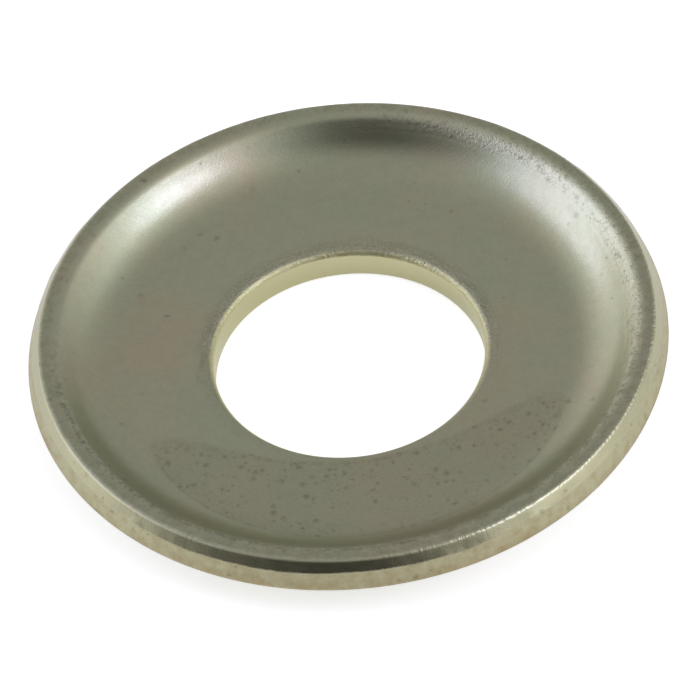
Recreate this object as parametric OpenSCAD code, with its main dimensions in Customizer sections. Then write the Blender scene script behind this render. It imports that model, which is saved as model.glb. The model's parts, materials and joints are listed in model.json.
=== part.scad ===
// Dished washer for an axle bolt, pressed from one piece of zinc-plated steel sheet.
// A flat floor with a round hole is ringed by a turned-up rim, which has a narrow flat land
// on top and a sheared outer edge. Millimetres, +Z up, underside of the floor on z = 0.

/* [Hole] */
// Diameter of the bolt hole
bore_d = 16.5; // [12:0.1:18]
// Rounding of the hole's upper edge, where the punch went in
bore_top_r = 0.5; // [0.1:0.05:0.6]
// Rounding of the hole's lower edge
bore_foot_r = 0.15; // [0.1:0.05:0.4]

/* [Sheet] */
// Thickness of the sheet
sheet_t = 2; // [1.6:0.1:2.2]

/* [Rim] */
// Diameter over the widest part of the rim
outer_d = 39; // [38:0.5:60]
// Height of the land above the floor
rim_rise = 2.3; // [2.1:0.05:3]
// Inside radius of the bend between floor and wall
bend_r = 5.1; // [3:0.1:5.2]
// Slope of the rim's inside wall, from level
wall_angle = 42; // [34:1:45]
// Width of the level part of the land on top of the rim
land_w = 0.2; // [0.1:0.05:0.6]
// Rounding between the wall and the land
land_in_r = 1.3; // [0.3:0.05:1.5]
// Rounding of the land's outer edge
land_out_r = 0.4; // [0.2:0.05:0.6]

/* [Sheared edge] */
// Height of the upper band, which the cutter wiped smooth
smooth_h = 0.7; // [0.6:0.05:0.9]
// Lean of the smooth band from upright
smooth_lean = 34; // [20:1:40]
// Height of the lower band, where the metal broke away, down to the middle of the bottom corner
broken_h = 1.05; // [0.8:0.05:1.3]
// Lean of the broken band from upright
broken_lean = 17; // [5:1:25]
// Rounding of the widest corner, under the broken band
corner_r = 0.25; // [0.1:0.05:0.4]

/* [Hidden] */
$fn = 256;
// Hair's breadth by which an arc crosses the sides that it rounds off, for a clean cut
crossing = 0.0005;
bore_r = bore_d / 2;
height = sheet_t + rim_rise;

// Circle of the widest corner
corner_x = outer_d / 2 - corner_r;
corner_z = height - smooth_h - broken_h;

// Sheared edge, upwards from the widest corner
broken_foot_x = corner_x + corner_r * cos(broken_lean);
broken_foot_z = corner_z + corner_r * sin(broken_lean);
smooth_foot_z = height - smooth_h;
smooth_foot_x = broken_foot_x - (smooth_foot_z - broken_foot_z) * tan(broken_lean);
land_out_x = smooth_foot_x - smooth_h * tan(smooth_lean);
land_out_mid = land_out_x - land_out_r * tan((90 - smooth_lean) / 2);
land_in_mid = land_out_mid - land_w;
land_in_x = land_in_mid - land_in_r * tan(wall_angle / 2);

// Middle of the bend, shared by its inside and its outside
bend_rise = bend_r * (1 - cos(wall_angle));
bend_x = land_in_x - bend_r * sin(wall_angle) - (rim_rise - bend_rise) / tan(wall_angle);
bend_z = sheet_t + bend_r;
bend_out_r = bend_r + sheet_t;

// Direction square to the rim's underside, which touches the outside of the bend and the corner's circle
reach = norm([corner_x - bend_x, corner_z - bend_z]);
under_dir = atan2(corner_z - bend_z, corner_x - bend_x) - acos((bend_out_r - corner_r) / reach);
half_turn = (broken_lean - under_dir) / 2;
corner_dir = (broken_lean + under_dir) / 2;

// Corners of the section, anticlockwise: across, up, rounding
section = [
    [bore_r, 0, bore_foot_r],
    [bend_x + bend_out_r * tan((90 + under_dir) / 2), 0, bend_out_r],
    [corner_x + corner_r / cos(half_turn) * cos(corner_dir),
     corner_z + corner_r / cos(half_turn) * sin(corner_dir), corner_r],
    [smooth_foot_x, smooth_foot_z, 0],
    [land_out_x, height, land_out_r],
    [land_in_x, height, land_in_r],
    [bend_x + bend_r * tan(wall_angle / 2), sheet_t, bend_r],
    [bore_r, sheet_t, bore_top_r],
];

// Corner i of a list, as across and up, counted round past its ends
function at(list, i) = let (p = list[(i + len(list)) % len(list)]) [p[0], p[1]];
function unit(v) = v / norm(v);
function toward(list, i, step) = unit(at(list, i + step) - at(list, i));

// Positive where the outline turns left, which is at an outside corner
function turn(list, i) =
    let (a = -toward(list, i, -1), b = toward(list, i, 1)) atan2(a[0] * b[1] - a[1] * b[0], a * b);

// Point where the rounding of corner i meets the side before it or after it
function touch(list, i, step) =
    at(list, i) + toward(list, i, step) * list[i][2] * tan(abs(turn(list, i)) / 2);

// Middle of the rounding of corner i
function middle(list, i) =
    at(list, i) + unit(toward(list, i, -1) + toward(list, i, 1)) * list[i][2] / cos(turn(list, i) / 2);

// Disc whose edge is the arc of corner i
module rounding_disc(list, i) {
    translate(middle(list, i)) circle(r = list[i][2] + crossing);
}

// What an outside corner loses to its rounding
module corner_trim(list, i) {
    m = middle(list, i);
    far = 3;
    difference() {
        polygon([
            m,
            m + far * (touch(list, i, -1) - m),
            m + far * (at(list, i) - m),
            m + far * (touch(list, i, 1) - m),
        ]);
        rounding_disc(list, i);
    }
}

// An outline with its corners rounded by true arcs. An inside corner is filled straight across
// and then hollowed out to its arc.
module rounded_outline(list) {
    last = len(list) - 1;
    difference() {
        polygon([
            for (i = [0 : last])
                each turn(list, i) < 0 ? [touch(list, i, -1), touch(list, i, 1)] : [at(list, i)]
        ]);
        for (i = [0 : last])
            if (list[i][2] > 0)
                if (turn(list, i) < 0) rounding_disc(list, i);
                else corner_trim(list, i);
    }
}

// Washer: the section turned about the axis of the hole
module washer() {
    color([0.62, 0.62, 0.52])
        rotate_extrude()
            rounded_outline(section);
}

washer();
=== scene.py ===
import json
import math

import bpy
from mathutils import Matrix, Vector


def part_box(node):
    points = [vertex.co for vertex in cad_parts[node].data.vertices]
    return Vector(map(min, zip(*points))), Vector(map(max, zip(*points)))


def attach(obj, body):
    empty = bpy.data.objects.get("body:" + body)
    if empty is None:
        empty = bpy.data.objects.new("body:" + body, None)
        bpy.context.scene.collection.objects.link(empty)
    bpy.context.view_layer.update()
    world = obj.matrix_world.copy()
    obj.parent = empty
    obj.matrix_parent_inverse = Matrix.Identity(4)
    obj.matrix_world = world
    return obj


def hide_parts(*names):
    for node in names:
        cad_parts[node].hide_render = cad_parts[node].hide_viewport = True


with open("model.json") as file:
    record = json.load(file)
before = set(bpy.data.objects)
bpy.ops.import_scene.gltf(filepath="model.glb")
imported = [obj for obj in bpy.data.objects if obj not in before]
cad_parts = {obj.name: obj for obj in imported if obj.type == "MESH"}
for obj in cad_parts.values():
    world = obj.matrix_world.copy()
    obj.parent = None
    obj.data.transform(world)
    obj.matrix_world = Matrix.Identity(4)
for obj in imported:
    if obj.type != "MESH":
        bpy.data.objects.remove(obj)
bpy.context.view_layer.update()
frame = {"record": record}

# Washer
# One disc of 2 mm steel sheet, blanked, pierced for the axle bolt and pressed into a shallow dish, then
# zinc plated. The press flattened a narrow land on top of the rim, and the outer edge is the blank's
# sheared edge, wiped smooth above and broken away below.
mm = 0.001
mounts = {mount["name"]: mount for mount in frame["record"]["mounts"]}
washer_low, washer_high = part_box("washer")
outer_r = washer_high[0]
height = washer_high[2]
sheet = mounts["floor_seat"]["pos_m"][2]
bore_r = mounts["bolt_hole"]["dims"]["r_mm"] * mm
bore_top_r = 0.5 * mm
bore_foot_r = 0.15 * mm
bend_r = 5.1 * mm
wall_slope = 42
land_w = 0.2 * mm
land_in_r = 1.3 * mm
land_out_r = 0.4 * mm
smooth_h = 0.7 * mm
smooth_lean = 34
broken_h = 1.05 * mm
broken_lean = 17
corner_r = 0.25 * mm
ring_steps = 720


def sine(degrees):
    return math.sin(math.radians(degrees))


def cosine(degrees):
    return math.cos(math.radians(degrees))


def tangent(degrees):
    return math.tan(math.radians(degrees))


def arc(across, up, radius, start, end, steps):
    """Points along an arc of the section, as radius and height, from angles in degrees."""
    turns = [start + (end - start) * step / steps for step in range(steps + 1)]
    return [(across + radius * cosine(turn), up + radius * sine(turn)) for turn in turns]


def between(start, end, steps):
    """Evenly spaced points between two points of the section, without the two."""
    shares = [step / steps for step in range(1, steps)]
    return [tuple(a + (b - a) * share for a, b in zip(start, end)) for share in shares]


# The section's corners and middles, worked out from the sizes above, from the widest corner inwards
corner_x = outer_r - corner_r
corner_z = height - smooth_h - broken_h
broken_foot_x = corner_x + corner_r * cosine(broken_lean)
broken_foot_z = corner_z + corner_r * sine(broken_lean)
smooth_foot_z = height - smooth_h
smooth_foot_x = broken_foot_x - (smooth_foot_z - broken_foot_z) * tangent(broken_lean)
land_out_x = smooth_foot_x - smooth_h * tangent(smooth_lean)
land_out_mid = land_out_x - land_out_r * tangent((90 - smooth_lean) / 2)
land_in_mid = land_out_mid - land_w
land_in_x = land_in_mid - land_in_r * tangent(wall_slope / 2)
bend_rise = bend_r * (1 - cosine(wall_slope))
bend_x = land_in_x - bend_r * sine(wall_slope) - (height - sheet - bend_rise) / tangent(wall_slope)
bend_z = sheet + bend_r
bend_out_r = bend_r + sheet
reach = math.hypot(corner_x - bend_x, corner_z - bend_z)
under_dir = math.degrees(math.atan2(corner_z - bend_z, corner_x - bend_x)
                         - math.acos((bend_out_r - corner_r) / reach))

# The section as stretches of points, from the hole's upper edge outwards, down and back to its lower edge.
# Three rings close together keep the border of the smooth and the broken band crisp.
border_step = 0.05 * mm
border = [
    (smooth_foot_x - border_step * tangent(smooth_lean), smooth_foot_z + border_step),
    (smooth_foot_x, smooth_foot_z),
    (smooth_foot_x + border_step * tangent(broken_lean), smooth_foot_z - border_step),
]
stretches = [
    arc(bore_r + bore_top_r, sheet - bore_top_r, bore_top_r, 180, 90, 8),
    arc(bend_x, bend_z, bend_r, 270, 270 + wall_slope, 20),
    arc(land_in_mid, height - land_in_r, land_in_r, 90 + wall_slope, 90, 10),
    arc(land_out_mid, height - land_out_r, land_out_r, 90, smooth_lean, 8),
    border,
    arc(corner_x, corner_z, corner_r, broken_lean, under_dir, 7),
    arc(bend_x, bend_z, bend_out_r, under_dir, -90, 8),
    arc(bore_r + bore_foot_r, bore_foot_r, bore_foot_r, 270, 180, 4),
]
straight_steps = [8, 6, 2, 4, 6, 6, 8]
section = list(stretches[0])
for before, after, steps in zip(stretches, stretches[1:], straight_steps):
    section += between(before[-1], after[0], steps) + after

# A circle at the hole's upper edge is drawn out ring by ring along the section, and closed into the hole.
bpy.ops.object.select_all(action="DESELECT")
bpy.ops.mesh.primitive_circle_add(vertices=ring_steps, radius=section[0][0], location=(0, 0, section[0][1]))
washer = bpy.context.object
washer.name = "zinc_washer"
bpy.ops.object.transform_apply(location=True, rotation=True, scale=True)
bpy.ops.object.mode_set(mode="EDIT")
bpy.ops.mesh.select_mode(type="EDGE")
bpy.ops.mesh.select_all(action="SELECT")
for (inner, low), (outer, high) in zip(section, section[1:]):
    grow = outer / inner
    bpy.ops.mesh.extrude_edges_move(TRANSFORM_OT_translate={"value": (0, 0, high - low)})
    bpy.ops.transform.resize(value=(grow, grow, 1), center_override=(0, 0, 0))
bpy.ops.mesh.select_all(action="DESELECT")
bpy.ops.mesh.select_non_manifold()
bpy.ops.mesh.bridge_edge_loops()
bpy.ops.mesh.select_all(action="SELECT")
bpy.ops.mesh.normals_make_consistent(inside=False)
bpy.ops.object.mode_set(mode="OBJECT")
bpy.ops.object.shade_smooth_by_angle(angle=math.radians(40))

# The border of the smooth and the broken band wanders up and down, as a shear leaves it. The rings above
# and below follow it less and less, up to the land and down to the corner. How far each point lies below
# the border is kept for the material. The back left of the rim came out of the press rounder than the rest:
# the corner between wall and land is a little lower there, and the wall below it a little fuller.
wander_share = washer.vertex_groups.new(name="wander_share")
lower_share = washer.vertex_groups.new(name="lower_share")
fuller_share = washer.vertex_groups.new(name="fuller_share")
wander_w = 2 * mm
wander_h = 0.25 * mm
lower_x = 17.8 * mm
lower_w = 1.1 * mm
fuller_x = 16.95 * mm
fuller_w = 1.1 * mm
rounder_way = Vector((-0.75, 0.66))
rounder_from = 0.65
rounder_fade = 0.3
depths = []
for vertex in washer.data.vertices:
    on_edge = vertex.co.xy.length > land_out_x
    below_land = (height - vertex.co.z) / smooth_h
    above_corner = (vertex.co.z - broken_foot_z) / (smooth_foot_z - broken_foot_z)
    share = min(below_land, above_corner, 1)
    if share > 0 and on_edge:
        wander_share.add([vertex.index], share, "REPLACE")
    depths.append((smooth_foot_z - vertex.co.z) / mm if on_edge else -1)
    side = min(1, (vertex.co.xy.normalized() @ rounder_way - rounder_from) / rounder_fade)
    if vertex.co.z > sheet and side > 0:
        lower_off = min(1, abs(vertex.co.xy.length - lower_x) / lower_w)
        lower_share.add([vertex.index], side * cosine(90 * lower_off) ** 2, "REPLACE")
        fuller_off = min(1, abs(vertex.co.xy.length - fuller_x) / fuller_w)
        fuller_share.add([vertex.index], side * cosine(90 * fuller_off) ** 2, "REPLACE")
below_border = washer.data.attributes.new("below_border", "FLOAT", "POINT")
below_border.data.foreach_set("value", depths)
ragged = bpy.data.textures.new("ragged_break", "CLOUDS")
ragged.noise_scale = wander_w
ragged.noise_depth = 3
wander = washer.modifiers.new("wander", "DISPLACE")
wander.texture = ragged
wander.texture_coords = "LOCAL"
wander.vertex_group = "wander_share"
wander.direction = "Z"
wander.strength = wander_h
bpy.ops.object.modifier_apply(modifier=wander.name)
for group, lift in (("lower_share", -0.05 * mm), ("fuller_share", 0.04 * mm)):
    rounder = washer.modifiers.new("rounder", "DISPLACE")
    rounder.vertex_group = group
    rounder.direction = "Z"
    rounder.mid_level = 0
    rounder.strength = lift
    bpy.ops.object.modifier_apply(modifier=rounder.name)


def linear(hex_colour):
    """An sRGB hex colour as linear red, green, blue and full alpha."""
    parts = [int(hex_colour[i:i + 2], 16) / 255 for i in (1, 3, 5)]
    return [part / 12.92 if part <= 0.04045 else ((part + 0.055) / 1.055) ** 2.4 for part in parts] + [1]


def add_node(tree, kind, inputs, **settings):
    """Adds a node to a tree with its settings. An input is a value, or another node's output to link."""
    node = tree.nodes.new(kind)
    for name, value in settings.items():
        setattr(node, name, value)
    for name, value in inputs.items():
        if isinstance(value, bpy.types.NodeSocket):
            tree.links.new(value, node.inputs[name])
        else:
            node.inputs[name].default_value = value
    return node


# Zinc on pressed steel, passivated: a satin grey metal with a faint yellow cast, greener and pinker in
# blotches. The floor has a stain with small pits, the rim is rubbed on its right, the hole's edge is
# scuffed, and the sheared edge is streaked upright where it is smooth, and rough and yellow where it broke.
zinc = bpy.data.materials.new("zinc_plated_pressed_steel")
zinc.use_nodes = True
tree = zinc.node_tree
shader = tree.nodes["Principled BSDF"]
shader.inputs["Metallic"].default_value = 1

# Places on the washer in millimetres: the distance from the axis, the turn from the front to the right, and
# whether a place belongs to the upper side
object_place = add_node(tree, "ShaderNodeTexCoord", {}).outputs["Object"]
place = add_node(tree, "ShaderNodeVectorMath", {
    0: object_place, "Scale": 1 / mm}, operation="SCALE").outputs[0]
parts = add_node(tree, "ShaderNodeSeparateXYZ", {0: place}).outputs
flat = add_node(tree, "ShaderNodeCombineXYZ", {0: parts["X"], 1: parts["Y"]}).outputs[0]
radius = add_node(tree, "ShaderNodeVectorMath", {0: flat}, operation="LENGTH").outputs["Value"]
way_out = add_node(tree, "ShaderNodeVectorMath", {0: flat}, operation="NORMALIZE").outputs[0]
ahead = add_node(tree, "ShaderNodeMath", {0: parts["Y"], 1: -1}, operation="MULTIPLY").outputs[0]
turn = add_node(tree, "ShaderNodeMath", {0: parts["X"], 1: ahead}, operation="ARCTAN2").outputs[0]
upper = add_node(tree, "ShaderNodeMapRange", {
    "Value": parts["Z"], "From Min": 1.6, "From Max": 1.8}).outputs[0]

# Unevenness of three sizes that the marks share, and how near a place is to the rubbed right of the rim
drift_mm = 2
mottle_mm = 0.625
speckles_per_mm = 5.5
drift = add_node(tree, "ShaderNodeTexNoise", {
    "Vector": place, "Scale": 1 / drift_mm, "Detail": 3}).outputs["Fac"]
mottle = add_node(tree, "ShaderNodeTexNoise", {
    "Vector": place, "Scale": 1 / mottle_mm, "Detail": 4, "Roughness": 0.65}).outputs["Fac"]
speckle = add_node(tree, "ShaderNodeTexNoise", {
    "Vector": place, "Scale": speckles_per_mm, "Detail": 3, "Roughness": 0.7}).outputs
rubbed_way = (0.88, 0.47, 0)
rubbed_near = add_node(tree, "ShaderNodeVectorMath", {0: way_out, 1: rubbed_way}, operation="DOT_PRODUCT")
rubbed = add_node(tree, "ShaderNodeMapRange", {
    "Value": rubbed_near.outputs["Value"], "From Min": 0.5, "From Max": 0.85, "To Min": 0.06}).outputs[0]

# Blotches of the passivation, faintly green and faintly pink, and a pink bloom on the left of the hole
blotches_per_mm = 0.17
blotches = add_node(tree, "ShaderNodeTexNoise", {
    "Vector": place, "Scale": blotches_per_mm, "Detail": 4, "Roughness": 0.6}).outputs["Fac"]
bloom_away = add_node(tree, "ShaderNodeVectorMath", {0: flat, 1: (-11, 2, 0)}, operation="DISTANCE")
bloom = add_node(tree, "ShaderNodeMapRange", {
    "Value": bloom_away.outputs["Value"], "From Min": 5, "From Max": 1, "To Max": 0.2}).outputs[0]
pinker = add_node(tree, "ShaderNodeMath", {0: blotches, 1: bloom}, operation="ADD").outputs[0]
pink_share = add_node(tree, "ShaderNodeMapRange", {
    "Value": pinker, "From Min": 0.4, "From Max": 0.75}).outputs[0]
greenish = linear("#B0B49A")
pinkish = linear("#B9B199")
colour = add_node(tree, "ShaderNodeMix", {
    "Factor": pink_share, "A": greenish, "B": pinkish}, data_type="RGBA").outputs["Result"]
mottle_both = add_node(tree, "ShaderNodeMath", {0: mottle, 1: speckle["Fac"]}, operation="ADD").outputs[0]
mottle_share = add_node(tree, "ShaderNodeMapRange", {
    "Value": mottle_both, "From Min": 0.85, "From Max": 1.35, "To Max": 0.3}).outputs[0]
colour = add_node(tree, "ShaderNodeMix", {
    "Factor": mottle_share, "A": colour, "B": linear("#96917E")}, data_type="RGBA").outputs["Result"]

# The stain lies on the front of the floor like a flattened oval, from 66 degrees left to 66 degrees right,
# and reaches from the bend almost to the hole. Its border is a broken, darker line.
stain_mid = 13.5
stain_in = 8.8
stain_out = 15.3
stain_turn = 66
inward = add_node(tree, "ShaderNodeMapRange", {
    "Value": radius, "From Min": stain_mid, "From Max": stain_in}, clamp=False).outputs[0]
outward = add_node(tree, "ShaderNodeMapRange", {
    "Value": radius, "From Min": stain_mid, "From Max": stain_out}, clamp=False).outputs[0]
deep = add_node(tree, "ShaderNodeMath", {0: inward, 1: outward}, operation="MAXIMUM").outputs[0]
along = add_node(tree, "ShaderNodeMath", {
    0: turn, 1: math.radians(stain_turn)}, operation="DIVIDE").outputs[0]
stain_place = add_node(tree, "ShaderNodeCombineXYZ", {0: deep, 1: along}).outputs[0]
stain_reach = add_node(tree, "ShaderNodeVectorMath", {0: stain_place}, operation="LENGTH").outputs["Value"]
stain_edge = add_node(tree, "ShaderNodeMath", {
    0: mottle, 1: 0.14, 2: stain_reach}, operation="MULTIPLY_ADD").outputs[0]
stain_flat = add_node(tree, "ShaderNodeMapRange", {
    "Value": stain_edge, "From Min": 1.1, "From Max": 1.02}).outputs[0]
stain = add_node(tree, "ShaderNodeMath", {0: stain_flat, 1: upper}, operation="MULTIPLY").outputs[0]
tide_near = add_node(tree, "ShaderNodeMath", {
    0: stain_edge, 1: 1.05, 2: 0.035}, operation="COMPARE").outputs[0]
tide_gaps = add_node(tree, "ShaderNodeMapRange", {
    "Value": mottle, "From Min": 0.4, "From Max": 0.65}).outputs[0]
tide = add_node(tree, "ShaderNodeMath", {0: tide_near, 1: tide_gaps}, operation="MULTIPLY").outputs[0]
tide_share = add_node(tree, "ShaderNodeMath", {0: tide, 1: 0.25}, operation="MULTIPLY").outputs[0]
stain_share = add_node(tree, "ShaderNodeMath", {0: stain, 1: 0.19}, operation="MULTIPLY").outputs[0]
grit = add_node(tree, "ShaderNodeMapRange", {
    "Value": speckle["Fac"], "From Min": 0.52, "From Max": 0.72}).outputs[0]
stain_grit = add_node(tree, "ShaderNodeMath", {
    0: grit, 1: stain_share, 2: stain_share}, operation="MULTIPLY_ADD").outputs[0]
stain_mark = add_node(tree, "ShaderNodeMath", {
    0: tide_share, 1: upper, 2: stain_grit}, operation="MULTIPLY_ADD").outputs[0]
colour = add_node(tree, "ShaderNodeMix", {
    "Factor": stain_mark, "A": colour, "B": linear("#8F7E69")}, data_type="RGBA").outputs["Result"]

# The rim is rubbed brighter between the bend and the land, with dark flecks and a faint crease below, and
# its land is soiled
crease_r = 17.2
rub_from = add_node(tree, "ShaderNodeMath", {
    0: drift, 1: 0.3, 2: radius}, operation="MULTIPLY_ADD").outputs[0]
rub_rise = add_node(tree, "ShaderNodeMapRange", {
    "Value": rub_from, "From Min": 17.1, "From Max": 17.4}).outputs[0]
rub_end = add_node(tree, "ShaderNodeMapRange", {
    "Value": radius, "From Min": 18.35, "From Max": 17.9}).outputs[0]
rub_ring = add_node(tree, "ShaderNodeMath", {0: rub_rise, 1: rub_end}, operation="MULTIPLY").outputs[0]
rub = add_node(tree, "ShaderNodeMath", {0: rub_ring, 1: rubbed}, operation="MULTIPLY").outputs[0]
crease_away = add_node(tree, "ShaderNodeMath", {0: rub_from, 1: crease_r}, operation="SUBTRACT").outputs[0]
crease_far = add_node(tree, "ShaderNodeMath", {0: crease_away}, operation="ABSOLUTE").outputs[0]
crease_line = add_node(tree, "ShaderNodeMapRange", {
    "Value": crease_far, "From Min": 0.18, "From Max": 0}, interpolation_type="SMOOTHSTEP").outputs[0]
crease = add_node(tree, "ShaderNodeMath", {0: crease_line, 1: rubbed}, operation="MULTIPLY").outputs[0]
bright_share = add_node(tree, "ShaderNodeMath", {0: rub, 1: 0.3}, operation="MULTIPLY").outputs[0]
colour = add_node(tree, "ShaderNodeMix", {
    "Factor": bright_share, "A": colour, "B": linear("#D2D1BC")}, data_type="RGBA").outputs["Result"]
fleck_near = add_node(tree, "ShaderNodeMapRange", {
    "Value": mottle_both, "From Min": 1.05, "From Max": 1.3, "To Max": 0.7}).outputs[0]
fleck_share = add_node(tree, "ShaderNodeMath", {0: fleck_near, 1: rub}, operation="MULTIPLY").outputs[0]
colour = add_node(tree, "ShaderNodeMix", {
    "Factor": fleck_share, "A": colour, "B": linear("#7E7A68")}, data_type="RGBA").outputs["Result"]
land_in = add_node(tree, "ShaderNodeMapRange", {
    "Value": radius, "From Min": 17.9, "From Max": 18.2}).outputs[0]
land_out = add_node(tree, "ShaderNodeMapRange", {
    "Value": radius, "From Min": 18.85, "From Max": 18.65}).outputs[0]
land = add_node(tree, "ShaderNodeMath", {0: land_in, 1: land_out}, operation="MULTIPLY").outputs[0]
soil = add_node(tree, "ShaderNodeMapRange", {
    "Value": mottle_both, "From Min": 0.8, "From Max": 1.3, "To Min": 0.08, "To Max": 0.5}).outputs[0]
soil_here = add_node(tree, "ShaderNodeMath", {0: soil, 1: land}, operation="MULTIPLY").outputs[0]
soil_share = add_node(tree, "ShaderNodeMath", {0: soil_here, 1: upper}, operation="MULTIPLY").outputs[0]
colour = add_node(tree, "ShaderNodeMix", {
    "Factor": soil_share, "A": colour, "B": linear("#8C8470")}, data_type="RGBA").outputs["Result"]

# Painted shade: a darker broken line along the inner corner of the land, on the front half only
corner_shade_r = 17.8
corner_shade_away = add_node(tree, "ShaderNodeMath", {0: radius, 1: corner_shade_r}, operation="SUBTRACT").outputs[0]
corner_shade_far = add_node(tree, "ShaderNodeMath", {0: corner_shade_away}, operation="ABSOLUTE").outputs[0]
corner_shade_line = add_node(tree, "ShaderNodeMapRange", {
    "Value": corner_shade_far, "From Min": 0.35, "From Max": 0.05}, interpolation_type="SMOOTHSTEP").outputs[0]
corner_shade_gaps = add_node(tree, "ShaderNodeMapRange", {
    "Value": mottle_both, "From Min": 0.85, "From Max": 1.15, "To Max": 0.6}).outputs[0]
corner_shade = add_node(tree, "ShaderNodeMath", {0: corner_shade_line, 1: corner_shade_gaps}, operation="MULTIPLY").outputs[0]
front_half = add_node(tree, "ShaderNodeMapRange", {
    "Value": parts["Y"], "From Min": 3, "From Max": -3}).outputs[0]
corner_shade_here = add_node(tree, "ShaderNodeMath", {0: corner_shade, 1: front_half}, operation="MULTIPLY").outputs[0]
corner_shade_share = add_node(tree, "ShaderNodeMath", {0: corner_shade_here, 1: upper}, operation="MULTIPLY").outputs[0]
# The painted shade in the land's inner corner is mixed into the colour here
colour = add_node(tree, "ShaderNodeMix", {
    "Factor": corner_shade_share, "A": colour, "B": linear("#77705E")}, data_type="RGBA").outputs["Result"]

# A ring of fine scuffs runs along the hole's edge, all but the front
scuffs_per_radian = 6
scuff_rings_per_mm = 9
hole_around = add_node(tree, "ShaderNodeVectorMath", {
    0: way_out, "Scale": scuffs_per_radian}, operation="SCALE").outputs[0]
hole_rings = add_node(tree, "ShaderNodeMath", {
    0: radius, 1: scuff_rings_per_mm}, operation="MULTIPLY").outputs[0]
hole_lift = add_node(tree, "ShaderNodeCombineXYZ", {2: hole_rings}).outputs[0]
hole_along = add_node(tree, "ShaderNodeVectorMath", {
    0: hole_around, 1: hole_lift}, operation="ADD").outputs[0]
hole_marks = add_node(tree, "ShaderNodeTexNoise", {
    "Vector": hole_along, "Scale": 1, "Detail": 4}).outputs["Fac"]
hole_grit = add_node(tree, "ShaderNodeMath", {0: hole_marks, 1: speckle["Fac"]}, operation="ADD").outputs[0]
hole_near = add_node(tree, "ShaderNodeMapRange", {
    "Value": radius, "From Min": 9.7, "From Max": 8.8}, interpolation_type="SMOOTHSTEP").outputs[0]
hole_back = add_node(tree, "ShaderNodeMapRange", {
    "Value": parts["Y"], "From Min": -4, "From Max": 1, "To Min": 0.15}).outputs[0]
hole_where = add_node(tree, "ShaderNodeMath", {0: hole_near, 1: hole_back}, operation="MULTIPLY").outputs[0]
hole_scuff = add_node(tree, "ShaderNodeMath", {0: hole_where, 1: upper}, operation="MULTIPLY").outputs[0]
hole_dark = add_node(tree, "ShaderNodeMapRange", {
    "Value": hole_grit, "From Min": 0.85, "From Max": 1.2, "To Min": 0.1, "To Max": 0.7}).outputs[0]
hole_share = add_node(tree, "ShaderNodeMath", {
    0: hole_dark, 1: hole_scuff}, operation="MULTIPLY").outputs[0]
colour = add_node(tree, "ShaderNodeMix", {
    "Factor": hole_share, "A": colour, "B": linear("#8C8774")}, data_type="RGBA").outputs["Result"]

# Pits are small dark dots of uneven outline: in clusters in the stain, along the rubbed rim, and few
# elsewhere
pit_mm = 0.5
pit_waver_mm = (0.45, 0.45, 0.45)
pit_place = add_node(tree, "ShaderNodeVectorMath", {
    0: speckle["Color"], 1: pit_waver_mm, 2: place}, operation="MULTIPLY_ADD").outputs[0]
pit_cells = add_node(tree, "ShaderNodeTexVoronoi", {
    "Vector": pit_place, "Scale": 1 / pit_mm}).outputs
pit_draw = add_node(tree, "ShaderNodeSeparateColor", {0: pit_cells["Color"]}).outputs
pit_gather = add_node(tree, "ShaderNodeMath", {
    0: stain_reach, 1: 0.25, 2: drift}, operation="MULTIPLY_ADD").outputs[0]
pit_crowd = add_node(tree, "ShaderNodeMapRange", {
    "Value": pit_gather, "From Min": 0.5, "From Max": 0.8, "To Min": 0.1}).outputs[0]
pit_stain = add_node(tree, "ShaderNodeMath", {
    0: stain, 1: pit_crowd, 2: 0.03}, operation="MULTIPLY_ADD").outputs[0]
sheared = add_node(tree, "ShaderNodeMapRange", {
    "Value": radius, "From Min": 18.66, "From Max": 18.78}).outputs[0]
pit_edge = add_node(tree, "ShaderNodeMath", {
    0: sheared, 1: 0.13, 2: pit_stain}, operation="MULTIPLY_ADD").outputs[0]
pit_chance = add_node(tree, "ShaderNodeMath", {
    0: rub, 1: 0.9, 2: pit_edge}, operation="MULTIPLY_ADD").outputs[0]
pit_here = add_node(tree, "ShaderNodeMath", {
    0: pit_draw["Red"], 1: pit_chance}, operation="LESS_THAN").outputs[0]
pit_grown = add_node(tree, "ShaderNodeMath", {0: pit_draw["Green"], 1: 3}, operation="POWER").outputs[0]
pit_size = add_node(tree, "ShaderNodeMapRange", {
    "Value": pit_grown, "To Min": 0.3, "To Max": 0.7}).outputs[0]
pit_dot = add_node(tree, "ShaderNodeMapRange", {
    "Value": pit_cells["Distance"], "From Min": pit_size, "From Max": 0},
    interpolation_type="SMOOTHSTEP").outputs[0]
pits = add_node(tree, "ShaderNodeMath", {0: pit_here, 1: pit_dot}, operation="MULTIPLY").outputs[0]

# The sheared edge is yellower than the faces. Its broken band starts along a frayed border, and is rough
# and browner towards its foot, and it is painted darker and browner on the front as painted shade. The
# hole's wall is paler and cleaner.
upper_corner_r = 18.68
corner_away = add_node(tree, "ShaderNodeMath", {
    0: radius, 1: upper_corner_r}, operation="SUBTRACT").outputs[0]
corner_far = add_node(tree, "ShaderNodeMath", {0: corner_away}, operation="ABSOLUTE").outputs[0]
corner = add_node(tree, "ShaderNodeMapRange", {
    "Value": corner_far, "From Min": 0.16, "From Max": 0.04}).outputs[0]
below = add_node(tree, "ShaderNodeAttribute", {}, attribute_name="below_border").outputs["Fac"]
frayed = add_node(tree, "ShaderNodeMath", {
    0: speckle["Fac"], 1: 0.25, 2: below}, operation="MULTIPLY_ADD").outputs[0]
broken = add_node(tree, "ShaderNodeMapRange", {
    "Value": frayed, "From Min": 0.06, "From Max": 0.2}).outputs[0]
foot = add_node(tree, "ShaderNodeMapRange", {
    "Value": below, "From Min": 0.5, "From Max": 1.3, "To Min": 0.1, "To Max": 0.3}).outputs[0]
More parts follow.
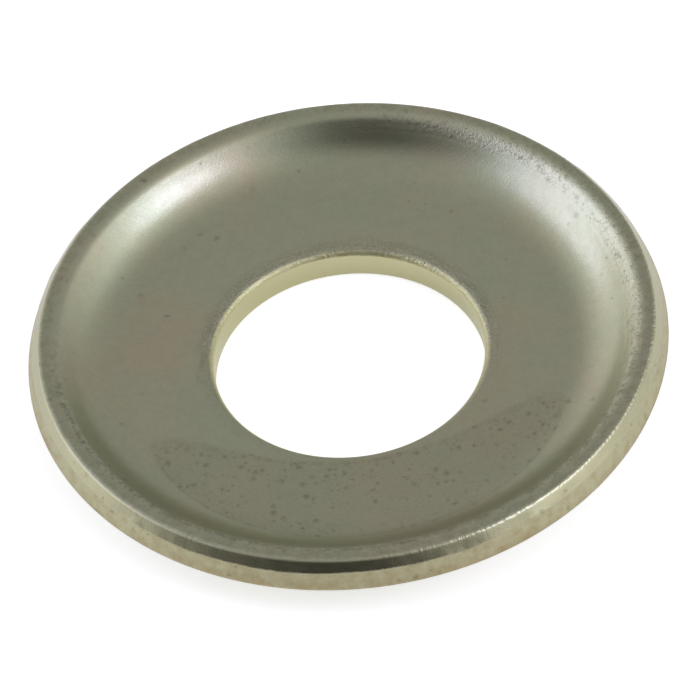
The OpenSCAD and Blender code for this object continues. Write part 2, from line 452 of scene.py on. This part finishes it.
# Painted shade: the broken band turns darker and browner towards the front, on top of its browner foot
front_shade = add_node(tree, "ShaderNodeMapRange", {
    "Value": parts["Y"], "From Min": -12, "From Max": -18, "To Max": 0.12}).outputs[0]
foot_and_front_shade = add_node(tree, "ShaderNodeMath", {0: front_shade, 1: foot}, operation="ADD").outputs[0]
brown_and_shade = add_node(tree, "ShaderNodeMath", {0: mottle, 1: foot_and_front_shade}, operation="ADD").outputs[0]
brown_and_shade_share = add_node(tree, "ShaderNodeMapRange", {
    "Value": brown_and_shade, "From Min": 0.55, "From Max": 1.05, "To Max": 0.8}).outputs[0]
broken_pale = linear("#BFBB98")
broken_brown_and_shade = linear("#A48F66")
broken_colour = add_node(tree, "ShaderNodeMix", {
    "Factor": brown_and_shade_share, "A": broken_pale, "B": broken_brown_and_shade}, data_type="RGBA").outputs["Result"]
sheared_colour = add_node(tree, "ShaderNodeMix", {
    "Factor": broken, "A": linear("#B9B697"), "B": broken_colour}, data_type="RGBA").outputs["Result"]
colour = add_node(tree, "ShaderNodeMix", {
    "Factor": sheared, "A": colour, "B": sheared_colour}, data_type="RGBA").outputs["Result"]
in_hole = add_node(tree, "ShaderNodeMapRange", {
    "Value": radius, "From Min": 8.55, "From Max": 8.42}).outputs[0]
colour = add_node(tree, "ShaderNodeMix", {
    "Factor": in_hole, "A": colour, "B": linear("#CAC69B")}, data_type="RGBA").outputs["Result"]
pit_share = add_node(tree, "ShaderNodeMath", {0: pits, 1: 0.37}, operation="MULTIPLY").outputs[0]
colour = add_node(tree, "ShaderNodeMix", {
    "Factor": pit_share, "A": colour, "B": linear("#4E4A3C")}, data_type="RGBA").outputs["Result"]
tree.links.new(colour, shader.inputs["Base Color"])

# Gloss: satin on the pressed faces, duller on the stain, the rubbed rim and the hole's edge, keen on the
# smooth band, and dull where the edge broke and along the upper corner on the left
gloss = add_node(tree, "ShaderNodeMapRange", {
    "Value": mottle, "From Min": 0.3, "From Max": 0.7, "To Min": 0.29, "To Max": 0.32}).outputs[0]
smooth_band = add_node(tree, "ShaderNodeMapRange", {
    "Value": radius, "From Min": 18.65, "From Max": 18.8, "To Max": -0.06}).outputs[0]
left = add_node(tree, "ShaderNodeMapRange", {
    "Value": parts["X"], "From Min": 8, "From Max": -2}).outputs[0]
dull_corner = add_node(tree, "ShaderNodeMath", {0: corner, 1: left}, operation="MULTIPLY").outputs[0]
rough = add_node(tree, "ShaderNodeMath", {0: gloss, 1: smooth_band}, operation="ADD").outputs[0]
for share, duller in ((stain, 0.05), (rub, 0.03), (hole_scuff, 0.06), (broken, 0.2), (dull_corner, 0.3)):
    rough = add_node(tree, "ShaderNodeMath", {
        0: share, 1: duller, 2: rough}, operation="MULTIPLY_ADD").outputs[0]
tree.links.new(rough, shader.inputs["Roughness"])

# Relief in millimetres: fine grain all over, the rubbed rim, the scuffed hole's edge, the crease, pits, the
# broken band, and streaks across the sheared edge that nick its upper corner. The real grain is finer than
# a pixel, so it is drawn as coarse as it needs to show.
grain_mm = 0.14
grain = add_node(tree, "ShaderNodeTexNoise", {
    "Vector": place, "Scale": 1 / grain_mm, "Detail": 2}).outputs["Fac"]
streak_mm = 0.24
edge_r = 19
edge_place = add_node(tree, "ShaderNodeVectorMath", {
    0: way_out, "Scale": edge_r}, operation="SCALE").outputs[0]
streaks = add_node(tree, "ShaderNodeTexNoise", {
    "Vector": edge_place, "Scale": 1 / streak_mm, "Detail": 3, "Roughness": 0.6}).outputs["Fac"]
edge_depth = add_node(tree, "ShaderNodeMapRange", {
    "Value": radius, "From Min": 18.5, "From Max": 18.6, "To Max": 0.006}).outputs[0]
nick_depth = add_node(tree, "ShaderNodeMapRange", {
    "Value": left, "To Min": 0.09, "To Max": 0.025}).outputs[0]
streak_depth = add_node(tree, "ShaderNodeMapRange", {
    "Value": corner, "To Min": edge_depth, "To Max": nick_depth}).outputs[0]
relief = add_node(tree, "ShaderNodeMath", {0: grain, 1: 0.005}, operation="MULTIPLY").outputs[0]
streak_rise = add_node(tree, "ShaderNodeMath", {0: streaks, 1: 0.5}, operation="SUBTRACT").outputs[0]
relief = add_node(tree, "ShaderNodeMath", {
    0: streak_rise, 1: streak_depth, 2: relief}, operation="MULTIPLY_ADD").outputs[0]
rub_depth = add_node(tree, "ShaderNodeMath", {0: rub, 1: 0.025}, operation="MULTIPLY").outputs[0]
speckle_depth = add_node(tree, "ShaderNodeMath", {
    0: broken, 1: 0.025, 2: rub_depth}, operation="MULTIPLY_ADD").outputs[0]
speckle_depth = add_node(tree, "ShaderNodeMath", {
    0: hole_scuff, 1: 0.065, 2: speckle_depth}, operation="MULTIPLY_ADD").outputs[0]
speckle_rise = add_node(tree, "ShaderNodeMath", {
    0: speckle["Fac"], 1: 0.5}, operation="SUBTRACT").outputs[0]
relief = add_node(tree, "ShaderNodeMath", {
    0: speckle_rise, 1: speckle_depth, 2: relief}, operation="MULTIPLY_ADD").outputs[0]
for mark, depth in ((pits, -0.003), (crease, -0.006)):
    relief = add_node(tree, "ShaderNodeMath", {
        0: mark, 1: depth, 2: relief}, operation="MULTIPLY_ADD").outputs[0]
bump = add_node(tree, "ShaderNodeBump", {"Height": relief, "Distance": mm}).outputs[0]
tree.links.new(bump, shader.inputs["Normal"])
washer.data.materials.append(zinc)
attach(washer, "root")
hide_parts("washer")

# Floor
# A sheet of plain white paper, a hair under the washer so that the two faces don't meet. The camera and the
# metal see it a little paler than the lamps make it, and it keeps the washer's shadow.
floor_size = 4
floor_gap = 0.02 * mm
bpy.ops.object.select_all(action="DESELECT")
bpy.ops.mesh.primitive_plane_add(size=floor_size, location=(0, 0, washer_low[2] - floor_gap))
floor = bpy.context.object
floor.name = "paper_floor"
paper = bpy.data.materials.new("white_paper")
paper.use_nodes = True
tree = paper.node_tree
shader = tree.nodes["Principled BSDF"]
shader.inputs["Base Color"].default_value = linear("#F2F2F0")
shader.inputs["Roughness"].default_value = 0.9
shader.inputs["Emission Color"].default_value = (1, 1, 1, 1)
light_path = add_node(tree, "ShaderNodeLightPath", {}).outputs
mirrored = add_node(tree, "ShaderNodeMath", {
    0: light_path["Is Glossy Ray"], 1: 0.3}, operation="MULTIPLY").outputs[0]
paler = add_node(tree, "ShaderNodeMath", {
    0: light_path["Is Camera Ray"], 1: 0.6, 2: mirrored}, operation="MULTIPLY_ADD").outputs[0]
tree.links.new(paler, shader.inputs["Emission Strength"])
floor.data.materials.append(paper)


# Light
# Two soft lamps stand left and right of the washer in a grey room. The walls glow round the lamps, and the
# room is dark in front, where the camera stands.
def direction(bearing, elevation):
    """A direction from the washer into the room. Bearing is in degrees from the back, to the right."""
    return Vector((sine(bearing) * cosine(elevation), cosine(bearing) * cosine(elevation), sine(elevation)))


def soft_lamp(name, way, distance, size, radiance):
    """An oval area lamp aimed at the washer from a direction."""
    bpy.ops.object.light_add(type="AREA", location=way * distance)
    lamp = bpy.context.object
    lamp.name = name
    lamp.rotation_euler = way.to_track_quat("Z", "Y").to_euler()
    lamp.data.shape = "ELLIPSE"
    lamp.data.size, lamp.data.size_y = size
    lamp.data.color = (0.93, 0.97, 1.55)
    lamp.data.energy = radiance * math.pi * math.pi / 4 * size[0] * size[1]


soft_lamp("lamp_left", direction(-79, 33), distance=0.6, size=(0.54, 0.4), radiance=0.93)
soft_lamp("lamp_right", direction(117, 38), distance=0.6, size=(0.33, 0.26), radiance=2.0)

room = bpy.data.worlds.new("grey_room")
bpy.context.scene.world = room
room.use_nodes = True
tree = room.node_tree
room_way = add_node(tree, "ShaderNodeTexCoord", {}).outputs["Generated"]


def room_patch(toward, wide, tight, outside, inside):
    """A value that changes from outside to inside a round patch of the room, in degrees from its middle."""
    nearness = add_node(tree, "ShaderNodeVectorMath", {0: room_way, 1: toward}, operation="DOT_PRODUCT")
    return add_node(tree, "ShaderNodeMapRange", {
        "Value": nearness.outputs["Value"], "From Min": cosine(wide), "From Max": cosine(tight),
        "To Min": outside, "To Max": inside}, interpolation_type="SMOOTHSTEP").outputs[0]


tone = room_patch(direction(205, -6), 85, 17, outside=0.47, inside=0.12)
for shade in (room_patch(direction(188, 12), 34, 8, outside=1, inside=0.35),
              room_patch(direction(200, 49), 24, 6, outside=1, inside=0.25)):
    tone = add_node(tree, "ShaderNodeMath", {0: tone, 1: shade}, operation="MULTIPLY").outputs[0]
for glow in (room_patch(direction(116, 40), 44, 0, outside=0, inside=0.5),
             room_patch(direction(-68, 12), 58, 0, outside=0, inside=0.66),
             room_patch(direction(98, 14), 50, 0, outside=0, inside=0.4)):
    tone = add_node(tree, "ShaderNodeMath", {0: tone, 1: glow}, operation="ADD").outputs[0]
tree.links.new(tone, tree.nodes["Background"].inputs["Color"])

# Camera
# A long lens from the front, high up and turned a little, so that the right of the washer sits higher.
picture = 700
camera_elevation = 47.54
camera_roll = -6.92
distance = 0.647
pixels_per_mm = 16.46
aim_right = 1.2
aim_up = 2.3
bpy.ops.object.camera_add()
camera = bpy.context.object
camera.name = "camera"
camera.rotation_mode = "ZYX"
camera.rotation_euler = (math.radians(90 - camera_elevation), 0, math.radians(camera_roll))
tilt = camera.rotation_euler.to_matrix()
aim = Vector((aim_right, aim_up, 0)) * mm / pixels_per_mm
camera.location = Vector((0, 0, sheet)) + tilt @ (aim + Vector((0, 0, distance)))
camera.data.sensor_width = 36
camera.data.lens = camera.data.sensor_width * distance / mm * pixels_per_mm / picture
camera.data.clip_start = 0.01
bpy.context.scene.camera = camera
bpy.context.scene.view_settings.view_transform = "Standard"
